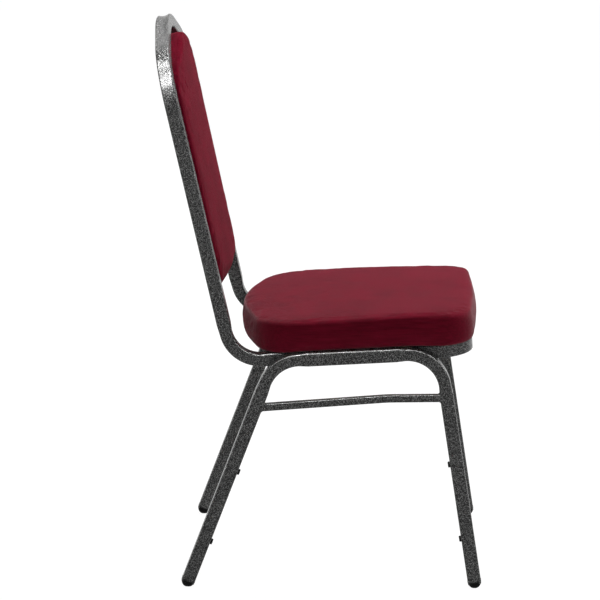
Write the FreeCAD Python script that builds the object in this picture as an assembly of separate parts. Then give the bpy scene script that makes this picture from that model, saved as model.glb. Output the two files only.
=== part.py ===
"""Stacking banquet chair: bent square-tube frame, padded seat and crown back.

Millimetres. +Z is up, the chair faces -Y, and X runs across it. The origin is on the floor,
in the middle of the chair's overall width and depth. Each physical piece is its own solid.
"""
import FreeCAD, Part
import math
import os

from FreeCAD import Placement, Rotation, Vector

# Frame tube: outside size, wall and outside corner radius of the square tubes
FRAME_TUBE = 22.2
FRAME_WALL = 1.2
FRAME_CORNER = 2.5
STRETCHER_TUBE = 12.0
STRETCHER_WALL = 1.0
STRETCHER_CORNER = 1.5
CROSS_TUBE = 19.0
CROSS_WALL = 1.2
CROSS_CORNER = 2.0

# Bends, measured to the tube's centre line; the tight ones leave the tube thinner, which eases off beside them
HOOP_BEND = 57.2
LEG_BEND = 62.0
FRONT_BEND = 50.0
SHOULDER_BEND = 86.0
CROWN_BEND = 155.0
STRETCHER_BEND = 300.0
CROWN_DISH = 2.0
BEND_PINCH = 2.4
BEND_EASE = 16.0

# Stance, seen from the side, with lengths from the middle of the foot span
OVERALL_WIDTH = 410.0
FOOT_SPAN = 483.0
REAR_LEG_ANGLE = 21.0
FRONT_LEG_ANGLE = 8.7
RAIL_HEIGHT = 395.0
RAIL_SLOPE = 3.1
RING_REAR = 161.2
RING_FRONT = 235.0
RAIL_JOINT = 100.0

# Back, with lengths along the upright from the corner where rail and upright meet
BACK_RAKE = 12.35
SHOULDER_LENGTH = 495.4
CROWN_SLOPE = 20.5

# Stretchers: how far their centre line lies below the rail height, and where the gentle bend is
STRETCHER_REAR_DROP = 85.5
STRETCHER_BEND_DROP = 68.7
STRETCHER_FRONT_DROP = 67.4
STRETCHER_BEND_FORWARD = 95.0

# Rear cross tube: how far it stands behind the middle of the foot span
CROSS_REAR = 96.0

# Glides and stacking bumpers
GLIDE_DROP = 9.0
GLIDE_ROUND = 9.0
GLIDE_WEAR = 0.8
GLIDE_PLUG = 18.0
GLIDE_FIT = 0.2
BUMPER_HEIGHTS = (88.0, 218.0)
BUMPER_SIZE = 10.0
BUMPER_PROUD = 3.6
BUMPER_ROUND = 1.2
BUMPER_STEM = 5.0
BUMPER_STEM_LENGTH = 4.5
STEM_FIT = 0.1

# Upholstery, common values
FABRIC = 1.0
FASTENER_FIT = 0.1

# Seat pad
PAD_SIDE_INSET = 8.0
PAD_FRONT_OVERHANG = 7.5
PAD_FRONT_SLOPE = 4.0
PAD_FRONT_BOW_SHARE = 0.72
PAD_FRONT_CORNER = 48.0
PAD_REAR_GAP = 12.5
PAD_REAR_SLOPE = 15.0
PAD_REAR_BOW = 365.0
PAD_REAR_CORNER = 80.0
SEAT_THICKNESS = 58.0
SEAT_CROWN = 2900.0
SEAT_CROWN_FORWARD = 20.0
SEAT_EDGE = 14.0
SEAT_TUCK = 9.0
SEAT_BOARD = 11.0
SEAT_FOAM_WRAP = 9.0
SEAT_HEM = 35.0

# Seat fixing
SEAT_TAB_REACH = 27.0
SEAT_TAB_WIDTH = 30.0
SEAT_TAB_THICKNESS = 2.5
SEAT_TAB_PLACES = (("front", -150.0), ("rear", 35.0))

# Back pad and rear panel
PAD_GAP = 3.0
PAD_TOP_DROP = 6.0
PANEL_GAP = 1.5
BACK_BOTTOM = 119.4
BACK_BOTTOM_CORNER = 28.0
BACK_BOARD = 12.0
BACK_FOAM_WRAP = 5.0
BACK_PROUD = 14.5
BACK_CROWN = 1150.0
BACK_EDGE = 16.0
BACK_HEM = 18.0
PANEL_RECESS = 0.4
PANEL_BOARD = 3.0
PANEL_HEM = 12.0

# Back fixing: the lower tabs are placed from the pad's bottom, the upper ones from the shoulder corners
BACK_TAB_LENGTH = 32.0
BACK_TAB_WIDTH = 28.0
BACK_TAB_THICKNESS = 2.5
LOWER_TAB_RISE = 58.6
UPPER_TAB_DROP = 92.4
TAB_ROOM = 1.0
TAB_HOLE_MARGIN = 9.0

# Machine screws, tee nuts and push-in panel clips
SCREW_SHANK = 6.0
SCREW_HEAD = 11.0
SCREW_HEAD_HEIGHT = 3.0
SCREW_HOLE = 6.8
TEE_BARREL = 8.0
TEE_FLANGE = 18.0
TEE_FLANGE_THICKNESS = 1.4
CLIP_HEAD = 14.0
CLIP_HEAD_THICKNESS = 1.5
CLIP_SHANK = 6.4
CLIP_DEPTH = 8.0
CLIP_SIDE = 90.0
CLIP_BOTTOM_RISE = 33.6
CLIP_TOP_DROP = 82.4

# Values that follow from the ones above
TUBE_HALF = FRAME_TUBE / 2
LEG_SIDE = OVERALL_WIDTH / 2 - TUBE_HALF
RAIL_SIDE = LEG_SIDE - FRAME_TUBE
RAIL_INNER = RAIL_SIDE - TUBE_HALF
SEAT_HOLE_SIDE = RAIL_INNER - SEAT_TAB_REACH + TAB_HOLE_MARGIN
BACK_HOLE_SIDE = RAIL_INNER - BACK_TAB_LENGTH + TAB_HOLE_MARGIN
BACK_TAB_PLACES = (("lower", BACK_BOTTOM + LOWER_TAB_RISE), ("upper", SHOULDER_LENGTH - UPPER_TAB_DROP))
CLIP_BOTTOM = BACK_BOTTOM + CLIP_BOTTOM_RISE
CLIP_TOP = SHOULDER_LENGTH - CLIP_TOP_DROP
CLIP_ROWS = (CLIP_BOTTOM, (CLIP_BOTTOM + CLIP_TOP) / 2, CLIP_TOP)

ACROSS = Vector(1, 0, 0)
UP = Vector(0, 0, 1)
SIDES = (("left", 1), ("right", -1))
LEGS = (("rear", 1, REAR_LEG_ANGLE), ("front", -1, FRONT_LEG_ANGLE))

# Seat frame: x across, y back along the rails, z square to the seat; z = 0 is the leg frames' centre line
SEAT_FRAME = Placement(Vector(0, 0, RAIL_HEIGHT), Rotation(ACROSS, -RAIL_SLOPE))
# Ring frame: the same, on the seat ring's centre line, lower by the tabs that lie on the ring
RING_FRAME = SEAT_FRAME.multiply(Placement(Vector(0, 0, -SEAT_TAB_THICKNESS), Rotation()))
# Back frame: x across, y up along the uprights, z out of the front; z = 0 is the uprights' centre line
BACK_FRAME = Placement(RING_FRAME.multVec(Vector(0, RING_REAR, 0)), Rotation(ACROSS, 90 - BACK_RAKE))


def tangent(angle):
    """Tangent of an angle in degrees."""
    return math.tan(math.radians(angle))


def cosine(angle):
    """Cosine of an angle in degrees."""
    return math.cos(math.radians(angle))


def toward(start, end):
    """Unit vector from one point to another."""
    return (end - start).normalize()


class Bend:
    """The tangent arc that rounds one corner of a path."""

    def __init__(self, before, corner, after, radius):
        coming = toward(before, corner)
        going = toward(corner, after)
        self.turn = math.degrees(coming.getAngle(going))
        reach = radius * tangent(self.turn / 2)
        self.axis = coming.cross(going).normalize()
        self.start = corner - coming * reach
        self.end = corner + going * reach
        self.centre = self.start + self.axis.cross(coming) * radius

    def turned(self, vector, share=1.0):
        """A direction carried round the bend, or round a share of it."""
        return Rotation(self.axis, self.turn * share).multVec(vector)

    def edge(self):
        """The arc itself."""
        middle = self.centre + self.turned(self.start - self.centre, 0.5)
        return Part.Arc(self.start, middle, self.end).toShape()


def rounded_outline(corners, radii):
    """Closed wire through corners, each rounded by its own tangent arc."""
    count = len(corners)
    bends = [
        Bend(corners[index - 1], corners[index], corners[(index + 1) % count], radii[index])
        for index in range(count)
    ]
    edges = []
    for index, bend in enumerate(bends):
        edges.append(bend.edge())
        edges.append(Part.LineSegment(bend.end, bends[(index + 1) % count].start).toShape())
    return Part.Wire(edges)


def square_section(size, corner, origin, side, along, dish=0.0, pinch=0.0):
    """Rounded square wire round origin, square to along.

    Dish hollows the face that looks to side, and pinch makes the section thinner the other way.
    """
    other = along.cross(side)
    half = size / 2
    thin = half - pinch / 2
    flat = half - corner
    thin_flat = thin - corner
    lean = corner * math.sqrt(0.5)

    def at(first, second):
        return origin + side * first + other * second

    face_edge = Part.LineSegment(at(half, -thin_flat), at(half, thin_flat))
    if dish:
        face_edge = Part.Arc(at(half, -thin_flat), at(half - dish, 0), at(half, thin_flat))
    edges = [
        face_edge,
        Part.Arc(at(half, thin_flat), at(flat + lean, thin_flat + lean), at(flat, thin)),
        Part.LineSegment(at(flat, thin), at(-flat, thin)),
        Part.Arc(at(-flat, thin), at(-flat - lean, thin_flat + lean), at(-half, thin_flat)),
        Part.LineSegment(at(-half, thin_flat), at(-half, -thin_flat)),
        Part.Arc(at(-half, -thin_flat), at(-flat - lean, -thin_flat - lean), at(-flat, -thin)),
        Part.LineSegment(at(-flat, -thin), at(flat, -thin)),
        Part.Arc(at(flat, -thin), at(flat + lean, -thin_flat - lean), at(half, -thin_flat)),
    ]
    return Part.Wire([edge.toShape() for edge in edges])


class Tube:
    """Square tube stock, bent and cut to length."""

    def __init__(self, size, wall, corner):
        self.size = size
        self.wall = wall
        self.corner = corner

    def wires(self, origin, side, along, form):
        """Outer and inner section wires at one station of the tube."""
        bore = self.size - 2 * self.wall
        outer = square_section(self.size, self.corner, origin, side, along, *form)
        inner = square_section(bore, self.corner - self.wall, origin, side, along, *form)
        return outer, inner

    def run(self, start, end, side, first, last):
        """Straight length from one form, a dish and a pinch, to the next; pinches ease off at its ends."""
        along = toward(start, end)
        stations = [(start, first), (end, last)]
        if first[1] or last[1]:
            ease = BEND_EASE / (end - start).Length
            eased = [
                (start + (end - start) * part, (first[0] + (last[0] - first[0]) * part, 0.0))
                for part in (ease, 1 - ease)
            ]
            stations[1:1] = eased
        wires = [self.wires(place, side, along, form) for place, form in stations]
        outer, inner = [Part.makeLoft(list(sections), True, True) for sections in zip(*wires)]
        return outer.cut(inner)

    def bent(self, bend, side, along, form):
        """Bent length."""
        outer, inner = self.wires(bend.start, side, along, form)
        solids = [
            Part.Face(wire).revolve(bend.centre, bend.axis, bend.turn) for wire in (outer, inner)
        ]
        return solids[0].cut(solids[1])

    def along(self, points, radii, side, forms=None):
        """One tube along points, with a bend at each inner one; side is a section axis of the first run."""
        forms = forms or [PLAIN] * len(radii)
        start = points[0]
        form_before = PLAIN
        lengths = []
        for index, radius in enumerate(radii, 1):
            bend = Bend(points[index - 1], points[index], points[index + 1], radius)
            form = forms[index - 1]
            lengths.append(self.run(start, bend.start, side, form_before, form))
            lengths.append(self.bent(bend, side, toward(points[index - 1], points[index]), form))
            side = bend.turned(side)
            start = bend.end
            form_before = form
        lengths.append(self.run(start, points[-1], side, form_before, PLAIN))
        return lengths[0].multiFuse(lengths[1:]).removeSplitter()


def cut_beyond(shape, point, normal):
    """Shape without what lies beyond a plane, on the side that normal points to."""
    box = shape.BoundBox
    reach = box.DiagonalLength
    block = Part.makeBox(2 * reach, 2 * reach, 2 * reach, Vector(-reach, -reach, 0))
    beside = box.Center - normal * (box.Center - point).dot(normal)
    block.Placement = Placement(beside, Rotation(UP, normal))
    return shape.cut(block)


def prism(outline, bottom, top):
    """Solid between two heights over a flat outline."""
    face = Part.Face(outline)
    face.translate(Vector(0, 0, bottom))
    return face.extrude(Vector(0, 0, top - bottom))


def disc(size, bottom, top, x=0.0, y=0.0):
    """Upright cylinder between two heights."""
    return Part.makeCylinder(size / 2, top - bottom, Vector(x, y, bottom))


def placed(shape, frame):
    """Shape moved from its own frame to the chair's."""
    moved = shape.copy()
    moved.Placement = frame.multiply(moved.Placement)
    return moved


def crossing(point, direction, other_point, other_direction):
    """Point where two lines in one side plane meet."""
    normal = ACROSS.cross(other_direction)
    travel = (other_point - point).dot(normal) / direction.dot(normal)
    return point + direction * travel


# Forms of the tube's section in a bend: dish and pinch
PLAIN = (0.0, 0.0)
DISHED = (CROWN_DISH, 0.0)
PINCHED = (0.0, BEND_PINCH)

FRAME_STOCK = Tube(FRAME_TUBE, FRAME_WALL, FRAME_CORNER)
STRETCHER_STOCK = Tube(STRETCHER_TUBE, STRETCHER_WALL, STRETCHER_CORNER)
CROSS_STOCK = Tube(CROSS_TUBE, CROSS_WALL, CROSS_CORNER)


def back_frame_tube():
    """Side rails, uprights and crown, bent from one tube; its outer wall dishes in at the crown."""
    apex = SHOULDER_LENGTH + RAIL_SIDE * tangent(CROWN_SLOPE)

    def side_points(side):
        rail_end = RING_FRAME.multVec(Vector(side * RAIL_SIDE, -RAIL_JOINT, 0))
        rear_corner = BACK_FRAME.multVec(Vector(side * RAIL_SIDE, 0, 0))
        shoulder = BACK_FRAME.multVec(Vector(side * RAIL_SIDE, SHOULDER_LENGTH, 0))
        return [rail_end, rear_corner, shoulder]

    points = side_points(-1) + [BACK_FRAME.multVec(Vector(0, apex, 0))] + side_points(1)[::-1]
    radii = [HOOP_BEND, SHOULDER_BEND, CROWN_BEND, SHOULDER_BEND, HOOP_BEND]
    forms = [PINCHED, PLAIN, DISHED, PLAIN, PINCHED]
    return FRAME_STOCK.along(points, radii, -ACROSS, forms)


def front_seat_rail():
    """Tube that closes the seat ring round the front corners."""
    front = -(RING_FRONT - TUBE_HALF)
    corners = [
        Vector(-RAIL_SIDE, -RAIL_JOINT, 0),
        Vector(-RAIL_SIDE, front, 0),
        Vector(RAIL_SIDE, front, 0),
        Vector(RAIL_SIDE, -RAIL_JOINT, 0),
    ]
    points = [RING_FRAME.multVec(corner) for corner in corners]
    return FRAME_STOCK.along(points, [FRONT_BEND, FRONT_BEND], ACROSS)


def rear_cross_tube():
    """Tube between the side rails, with its top level with theirs."""
    height = TUBE_HALF - CROSS_TUBE / 2
    ends = [Vector(side * RAIL_INNER, CROSS_REAR, height) for side in (-1, 1)]
    points = [RING_FRAME.multVec(end) for end in ends]
    return CROSS_STOCK.along(points, [], RING_FRAME.Rotation.multVec(UP))


def leg_frame_of(side, end, angle):
    """Frame at the foot of one leg: origin on the floor, z up along the leg."""
    foot = Vector(side * LEG_SIDE, end * FOOT_SPAN / 2, 0)
    return Placement(foot, Rotation(ACROSS, end * angle))


def leg_frame(side):
    """Front leg, top run and rear leg, bent from one tube, with holes for the bumper stems."""
    top_point = SEAT_FRAME.multVec(Vector(side * LEG_SIDE, 0, 0))
    top_direction = SEAT_FRAME.Rotation.multVec(Vector(0, 1, 0))
    feet = []
    corners = []
    for _, end, angle in LEGS:
        frame = leg_frame_of(side, end, angle)
        leg_direction = frame.Rotation.multVec(UP)
        feet.append(frame.multVec(Vector(0, 0, GLIDE_DROP)))
        corners.append(crossing(frame.Base, leg_direction, top_point, top_direction))
    points = [feet[0], corners[0], corners[1], feet[1]]
    tube = FRAME_STOCK.along(points, [LEG_BEND, LEG_BEND], ACROSS, [PINCHED, PINCHED])
    holes = [
        placed(disc(BUMPER_STEM + 2 * STEM_FIT, -FRAME_TUBE / 2, 0), bumper_frame(side, end, angle, height))
        for _, end, angle in LEGS
        for height in BUMPER_HEIGHTS
    ]
    return tube.cut(holes)


def stretcher(side):
    """Slim tube between the legs, with a gentle bend, mitred to the faces of both legs."""
    middle = Vector(side * LEG_SIDE, -STRETCHER_BEND_FORWARD, RAIL_HEIGHT - STRETCHER_BEND_DROP)
    drops = (STRETCHER_REAR_DROP, STRETCHER_FRONT_DROP)
    ends = []
    faces = []
    for (_, end, angle), drop in zip(LEGS, drops):
        frame = leg_frame_of(side, end, angle)
        ends.append(frame.multVec(Vector(0, 0, (RAIL_HEIGHT - drop) / cosine(angle))))
        inward = Vector(0, -end, 0)
        faces.append((frame.multVec(inward * TUBE_HALF), frame.Rotation.multVec(-inward)))
    tube = STRETCHER_STOCK.along([ends[0], middle, ends[1]], [STRETCHER_BEND], ACROSS)
    for point, normal in faces:
        tube = cut_beyond(tube, point, normal)
    return tube


def glide(side, end, angle):
    """Domed glide: a plug in the tube's end, and a rounded foot with a flat worn level on the floor."""
    frame = leg_frame_of(side, end, angle)
    foot_outline = square_section(FRAME_TUBE, FRAME_CORNER, Vector(), ACROSS, UP)
    foot = prism(foot_outline, -GLIDE_WEAR, GLIDE_DROP)
    sole = min(foot.Faces, key=lambda face: face.CenterOfMass.z)
    foot = foot.makeFillet(GLIDE_ROUND, sole.Edges)
    bore = FRAME_TUBE - 2 * FRAME_WALL - 2 * GLIDE_FIT
    plug_outline = square_section(bore, FRAME_CORNER - FRAME_WALL, Vector(), ACROSS, UP)
    plug = prism(plug_outline, GLIDE_DROP, GLIDE_DROP + GLIDE_PLUG)
    whole = foot.fuse(plug).removeSplitter()
    return cut_beyond(placed(whole, frame), Vector(), -UP)


def bumper_frame(side, end, angle, height):
    """Frame on the inner face of one leg: z points out of the face, towards the other leg."""
    leg = leg_frame_of(side, end, angle)
    on_face = Placement(Vector(0, -end * TUBE_HALF, height), Rotation(ACROSS, end * 90))
    return leg.multiply(on_face)


def bumper(side, end, angle, height):
    """Rubber button that keeps stacked chairs apart, held by a stem through the leg's wall."""
    head = disc(BUMPER_SIZE, 0, BUMPER_PROUD)
    crown = max(head.Faces, key=lambda face: face.CenterOfMass.z)
    head = head.makeFillet(BUMPER_ROUND, crown.OuterWire.Edges)
    stem = disc(BUMPER_STEM, -BUMPER_STEM_LENGTH, 0)
    return placed(head.fuse(stem).removeSplitter(), bumper_frame(side, end, angle, height))


def seat_outline(inset):
    """Plan outline of the seat pad, drawn in from its widest line by inset."""
    full_half = OVERALL_WIDTH / 2 - PAD_SIDE_INSET
    half = full_half - inset
    front_bow = PAD_FRONT_BOW_SHARE * full_half / tangent(PAD_FRONT_SLOPE)

    def bowed(reach, slope, bow):
        apex = reach + bow * (1 / cosine(slope) - 1) - inset / cosine(slope)
        return apex, apex - half * tangent(slope)

    front, front_side = bowed(RING_FRONT + PAD_FRONT_OVERHANG, PAD_FRONT_SLOPE, front_bow)
    rear, rear_side = bowed(RING_REAR - PAD_REAR_GAP, PAD_REAR_SLOPE, PAD_REAR_BOW)
    corners = [
        Vector(0, -front, 0),
        Vector(half, -front_side, 0),
        Vector(half, rear_side, 0),
        Vector(0, rear, 0),
        Vector(-half, rear_side, 0),
        Vector(-half, -front_side, 0),
    ]
    radii = [front_bow, PAD_FRONT_CORNER, PAD_REAR_CORNER, PAD_REAR_BOW, PAD_REAR_CORNER, PAD_FRONT_CORNER]
    return rounded_outline(corners, [radius - inset for radius in radii])


def seat_envelope(inset):
    """Crowned seat pad with rolled edges, drawn in all round by inset."""
    block = prism(seat_outline(inset), TUBE_HALF + inset, TUBE_HALF + SEAT_THICKNESS)
    crown_centre = Vector(0, -SEAT_CROWN_FORWARD, TUBE_HALF + SEAT_THICKNESS - SEAT_CROWN)
    crown = Part.makeSphere(SEAT_CROWN - inset, crown_centre)
    pad = block.common(crown)
    top = max(pad.Faces, key=lambda face: face.CenterOfMass.z)
    pad = pad.makeFillet(SEAT_EDGE - inset, top.Edges)
    base = min(pad.Faces, key=lambda face: face.CenterOfMass.z)
    return pad.makeFillet(SEAT_TUCK - inset, base.Edges)


def seat_holes():
    """Places of the seat screws in the seat frame."""
    return [(side * SEAT_HOLE_SIDE, place) for _, side in SIDES for _, place in SEAT_TAB_PLACES]


def tee_recesses(places, bottom, top):
    """Bores and flange recesses for tee nuts pressed in from the top of a board."""
    flange_floor = top - TEE_FLANGE_THICKNESS
    cuts = []
    for x, y in places:
        cuts.append(disc(TEE_BARREL + 2 * FASTENER_FIT, bottom, top, x, y))
        cuts.append(disc(TEE_FLANGE + 2 * FASTENER_FIT, flange_floor, top, x, y))
    return cuts


def tee_nuts(places, bottom, top):
    """Tee nuts with their flanges level with the top of a board."""
    nuts = []
    for x, y in places:
        nut = disc(TEE_BARREL, bottom, top, x, y).fuse(disc(TEE_FLANGE, top - TEE_FLANGE_THICKNESS, top, x, y))
        nuts.append(nut.removeSplitter().cut(disc(SCREW_SHANK + 2 * FASTENER_FIT, bottom, top, x, y)))
    return Part.makeCompound(nuts)


def screws(places, under_head, tip):
    """Pan-head screws that point up, with their heads below under_head."""
    made = []
    for x, y in places:
        head = disc(SCREW_HEAD, under_head - SCREW_HEAD_HEIGHT, under_head, x, y)
        lowest = min(head.Faces, key=lambda face: face.CenterOfMass.z)
        head = head.makeFillet(SCREW_HEAD_HEIGHT / 2, lowest.OuterWire.Edges)
        made.append(head.fuse(disc(SCREW_SHANK, under_head, tip, x, y)).removeSplitter())
    return Part.makeCompound(made)


def seat_levels():
    """Underside and top of the seat board in the seat frame."""
    underside = TUBE_HALF + FABRIC
    return underside, underside + SEAT_BOARD


def seat_tab(side, place):
    """Flat tab on top of a side rail, with a screw hole inside the ring."""
    inner = RAIL_INNER - SEAT_TAB_REACH
    outer = RAIL_SIDE + TUBE_HALF - FRAME_CORNER
    half = SEAT_TAB_WIDTH / 2
    outline = Part.makePolygon([
        Vector(side * inner, place - half, 0),
        Vector(side * outer, place - half, 0),
        Vector(side * outer, place + half, 0),
        Vector(side * inner, place + half, 0),
        Vector(side * inner, place - half, 0),
    ])
    bottom = TUBE_HALF - SEAT_TAB_THICKNESS
    plate = prism(outline, bottom, TUBE_HALF)
    return plate.cut(disc(SCREW_HOLE, bottom, TUBE_HALF, side * SEAT_HOLE_SIDE, place))


def seat_pieces():
    """Seat tabs, board, foam, cover and fixings."""
    underside, board_top = seat_levels()
    holes = seat_holes()
    board_outline = seat_outline(FABRIC + SEAT_FOAM_WRAP)
    board = prism(board_outline, underside, board_top)
    inside = seat_envelope(FABRIC)
    opening = prism(seat_outline(SEAT_HEM), TUBE_HALF, underside)
    pieces = {
        "seat_board": board.cut(tee_recesses(holes, underside, board_top)),
        "seat_foam": inside.cut(board),
        "seat_cover": seat_envelope(0.0).cut(inside).cut(opening),
        "seat_tee_nuts": tee_nuts(holes, underside, board_top),
        "seat_screws": screws(holes, TUBE_HALF - SEAT_TAB_THICKNESS, board_top),
    }
    for side_name, side in SIDES:
        for end_name, place in SEAT_TAB_PLACES:
            pieces["seat_tab_" + end_name + "_" + side_name] = seat_tab(side, place)
    return {name: placed(shape, SEAT_FRAME) for name, shape in pieces.items()}


def back_outline(inset, drop=0.0):
    """Outline inside the back frame, at inset from the tube's centre line and lower at the top by drop."""
    half = RAIL_SIDE - inset
    apex = SHOULDER_LENGTH + RAIL_SIDE * tangent(CROWN_SLOPE) - inset / cosine(CROWN_SLOPE) - drop
    shoulder = apex - half * tangent(CROWN_SLOPE)
    bottom = BACK_BOTTOM + inset - TUBE_HALF - PAD_GAP
    corners = [
        Vector(-half, bottom, 0),
        Vector(half, bottom, 0),
        Vector(half, shoulder, 0),
        Vector(0, apex, 0),
        Vector(-half, shoulder, 0),
    ]
    bottom_round = BACK_BOTTOM_CORNER - (inset - TUBE_HALF - PAD_GAP)
    shoulder_round = SHOULDER_BEND - inset
    return rounded_outline(
        corners, [bottom_round, bottom_round, shoulder_round, CROWN_BEND - inset, shoulder_round]
    )


def pad_outline(inset):
    """Outline of the back pad, drawn in by inset, with a dark gap left under the crown."""
    return back_outline(TUBE_HALF + PAD_GAP + inset, PAD_TOP_DROP)


def panel_outline(inset):
    """Outline of the rear panel, drawn in by inset."""
    return back_outline(TUBE_HALF + PANEL_GAP + inset)


def back_levels():
    """Heights of the layers of the back, from the rear face of the tube forwards."""
    levels = {"panel_rear": -TUBE_HALF + PANEL_RECESS}
    levels["hardboard_rear"] = levels["panel_rear"] + FABRIC
    levels["hardboard_front"] = levels["hardboard_rear"] + PANEL_BOARD
    levels["panel_front"] = levels["hardboard_front"] + FABRIC
    levels["board_rear"] = levels["panel_front"] + FABRIC
    levels["board_front"] = levels["board_rear"] + BACK_BOARD
    levels["tab_rear"] = levels["hardboard_front"] + FASTENER_FIT + SCREW_HEAD_HEIGHT
    levels["tab_front"] = levels["tab_rear"] + BACK_TAB_THICKNESS
    return levels


def back_envelope(inset, levels):
    """Crowned back pad with a rolled front edge, drawn in by inset, behind it level with the pad's hem."""
    front = TUBE_HALF + BACK_PROUD
    block = prism(pad_outline(inset), levels["panel_front"] + inset, front)
    length = SHOULDER_LENGTH + OVERALL_WIDTH
    crown = Part.makeCylinder(BACK_CROWN - inset, length, Vector(0, 0, front - BACK_CROWN), Vector(0, 1, 0))
    pad = block.common(crown)
    face = max(pad.Faces, key=lambda part: part.CenterOfMass.z)
    return pad.makeFillet(BACK_EDGE - inset, face.Edges)


def back_holes():
    """Places of the back screws in the back frame."""
    return [(side * BACK_HOLE_SIDE, place) for _, side in SIDES for _, place in BACK_TAB_PLACES]


def back_tab(side, place, levels, room=0.0):
    """Flat tab fitted to the tube's inner face, or, with room, the pocket that it lies in."""
    inner = RAIL_INNER - BACK_TAB_LENGTH - room
    half = BACK_TAB_WIDTH / 2 + room
    rear = levels["tab_rear"] if not room else levels["panel_front"]
    corners = [
        Vector(side * inner, place - half, rear),
        Vector(side * RAIL_INNER, place - half, rear),
        Vector(side * RAIL_INNER, place + half, rear),
        Vector(side * inner, place + half, rear),
    ]
    tab = Part.Face(Part.makePolygon(corners + corners[:1])).extrude(Vector(0, 0, levels["tab_front"] - rear))
    return tab.common(prism(back_outline(TUBE_HALF), rear, levels["tab_front"]))


def back_pieces():
    """Back tabs, board, foam, cover, rear panel and fixings."""
    levels = back_levels()
    holes = back_holes()
    pockets = [back_tab(side, place, levels, TAB_ROOM) for _, side in SIDES for _, place in BACK_TAB_PLACES]
    board = prism(pad_outline(FABRIC + BACK_FOAM_WRAP), levels["board_rear"], levels["board_front"])
    inside = back_envelope(FABRIC, levels)
    opening = prism(pad_outline(BACK_HEM), levels["panel_front"], levels["board_rear"])
    clips = [(side * CLIP_SIDE, row) for _, side in SIDES for row in CLIP_ROWS]
    clip_tip = levels["board_rear"] + CLIP_DEPTH
    clip_neck = levels["hardboard_front"] + CLIP_HEAD_THICKNESS
    clip_holes = [disc(CLIP_SHANK + 2 * FASTENER_FIT, levels["board_rear"], clip_tip, x, y) for x, y in clips]
    clip_solids = [
        disc(CLIP_HEAD, levels["hardboard_front"], clip_neck, x, y).fuse(
            disc(CLIP_SHANK, clip_neck, clip_tip, x, y)
        ).removeSplitter()
        for x, y in clips
    ]
    recesses = tee_recesses(holes, levels["tab_front"], levels["board_front"])
    panel = prism(panel_outline(FABRIC), levels["hardboard_rear"], levels["hardboard_front"])
    panel_skin = prism(panel_outline(0.0), levels["panel_rear"], levels["panel_front"])
    panel_opening = prism(panel_outline(PANEL_HEM), levels["hardboard_front"], levels["panel_front"])
    pieces = {
        "back_board": board.cut(pockets + recesses + clip_holes),
        "back_foam": inside.cut([board] + pockets),
        "back_cover": back_envelope(0.0, levels).cut([inside, opening] + pockets),
        "back_tee_nuts": tee_nuts(holes, levels["tab_front"], levels["board_front"]),
        "back_screws": screws(holes, levels["tab_rear"], levels["board_front"]),
        "rear_panel": panel,
        "rear_panel_cover": panel_skin.cut([panel, panel_opening]),
        "panel_clips": Part.makeCompound(clip_solids),
    }
    for side_name, side in SIDES:
        for end_name, place in BACK_TAB_PLACES:
            hole = disc(SCREW_HOLE, levels["tab_rear"], levels["tab_front"], side * BACK_HOLE_SIDE, place)
            pieces["back_tab_" + end_name + "_" + side_name] = back_tab(side, place, levels).cut(hole)
    return {name: placed(shape, BACK_FRAME) for name, shape in pieces.items()}


def frame_pieces():
    """Tubes of the welded frame."""
    pieces = {
        "back_frame_tube": back_frame_tube(),
        "front_seat_rail": front_seat_rail(),
        "rear_cross_tube": rear_cross_tube(),
    }
    for side_name, side in SIDES:
        pieces[side_name + "_leg_frame"] = leg_frame(side)
        pieces[side_name + "_stretcher"] = stretcher(side)
    return pieces


def foot_pieces():
    """Glides and stacking bumpers of all four legs."""
    pieces = {}
    for side_name, side in SIDES:
        for end_name, end, angle in LEGS:
            leg_name = end_name + "_" + side_name
            pieces["glide_" + leg_name] = glide(side, end, angle)
            for place_name, height in zip(("lower", "upper"), BUMPER_HEIGHTS):
                name = "bumper_" + leg_name + "_" + place_name
                pieces[name] = bumper(side, end, angle, height)
    return pieces


def main():
    """Build every piece, centre the chair over the origin and write one file per piece."""
    pieces = {**frame_pieces(), **foot_pieces(), **seat_pieces(), **back_pieces()}
    box = Part.makeCompound(list(pieces.values())).optimalBoundingBox()
    to_centre = Vector(-box.Center.x, -box.Center.y, 0)
    os.makedirs("parts", exist_ok=True)
    for name, shape in pieces.items():
        shape.translate(to_centre)
        shape.exportStep("parts/" + name + ".step")


main()
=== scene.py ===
"""Looks of a stacking banquet chair, dressed over its packed solid model.

Metres, in the model's own frame: +Z is up, the chair faces -Y, and X runs across it.
"""
import math

import bmesh
import bpy
from bpy.props import FloatProperty, FloatVectorProperty, IntProperty, PointerProperty
from mathutils import Matrix, Vector, kdtree


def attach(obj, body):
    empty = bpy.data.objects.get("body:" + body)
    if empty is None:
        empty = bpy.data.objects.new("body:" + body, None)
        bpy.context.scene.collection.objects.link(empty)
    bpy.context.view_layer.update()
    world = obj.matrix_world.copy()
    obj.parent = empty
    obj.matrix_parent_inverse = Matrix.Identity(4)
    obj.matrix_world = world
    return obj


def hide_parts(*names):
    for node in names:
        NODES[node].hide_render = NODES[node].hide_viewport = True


bl_info = {
    "name": "Stacking chair looks",
    "version": (1, 0, 0),
    "blender": (4, 5, 0),
    "location": "3D View > Sidebar > Chair",
    "description": "Dresses the solid model of a stacking chair with its coat, pads and stage",
    "category": "Object",
}

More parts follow.
